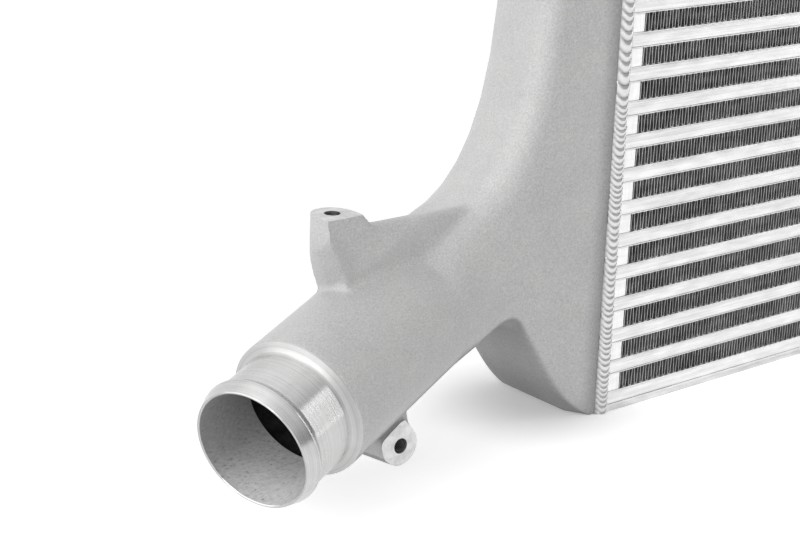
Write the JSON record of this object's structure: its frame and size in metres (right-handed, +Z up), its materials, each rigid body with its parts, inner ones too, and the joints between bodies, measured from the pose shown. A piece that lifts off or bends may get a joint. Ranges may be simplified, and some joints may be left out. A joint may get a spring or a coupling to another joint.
{
  "type": "intercooler",
  "caption": "Bar-and-plate charge-air cooler: a brazed core of flat passages and folded fins, welded between cast end tanks that sweep down into beaded hose spigots.",
  "frame": {"origin": "centre of the lower face of the core, on the plane the part rests on", "axes": "+X along the core's rows from the left tank to the right tank, +Y backwards with the cooling air, +Z up"},
  "size_m": [0.9696, 0.1032, 0.3352],
  "materials": {
    "cast_tank": "bead-blasted casting",
    "bar": "drawn, etched bright",
    "side_plate": "rolled",
    "sheet": "rolled",
    "fin_foil": "thin rolled foil",
    "weld_bead": "bright weld ripples"
  },
  "bodies": {
    "root": {"air_fin_01": "fin_foil", "air_fin_02": "fin_foil", "air_fin_03": "fin_foil", "air_fin_04": "fin_foil", "air_fin_05": "fin_foil", "air_fin_06": "fin_foil", "air_fin_07": "fin_foil", "air_fin_08": "fin_foil", "air_fin_09": "fin_foil", "air_fin_10": "fin_foil", "air_fin_11": "fin_foil", "air_fin_12": "fin_foil", "air_fin_13": "fin_foil", "air_fin_14": "fin_foil", "air_fin_15": "fin_foil", "air_fin_16": "fin_foil", "air_fin_17": "fin_foil", "air_fin_18": "fin_foil", "air_fin_19": "fin_foil", "air_fin_20": "fin_foil", "turbulator_01": "fin_foil", "turbulator_02": "fin_foil", "turbulator_03": "fin_foil", "turbulator_04": "fin_foil", "turbulator_05": "fin_foil", "turbulator_06": "fin_foil", "turbulator_07": "fin_foil", "turbulator_08": "fin_foil", "turbulator_09": "fin_foil", "turbulator_10": "fin_foil", "turbulator_11": "fin_foil", "turbulator_12": "fin_foil", "turbulator_13": "fin_foil", "turbulator_14": "fin_foil", "turbulator_15": "fin_foil", "turbulator_16": "fin_foil", "turbulator_17": "fin_foil", "turbulator_18": "fin_foil", "turbulator_19": "fin_foil", "turbulator_20": "fin_foil", "turbulator_21": "fin_foil", "parting_sheets": "sheet", "front_long_bars": "bar", "rear_long_bars": "bar", "left_short_bars": "bar", "right_short_bars": "bar", "top_side_plate": "side_plate", "bottom_side_plate": "side_plate", "left_end_tank": "cast_tank", "right_end_tank": "cast_tank", "left_weld": "weld_bead", "right_weld": "weld_bead"}
  },
  "joints": []
}
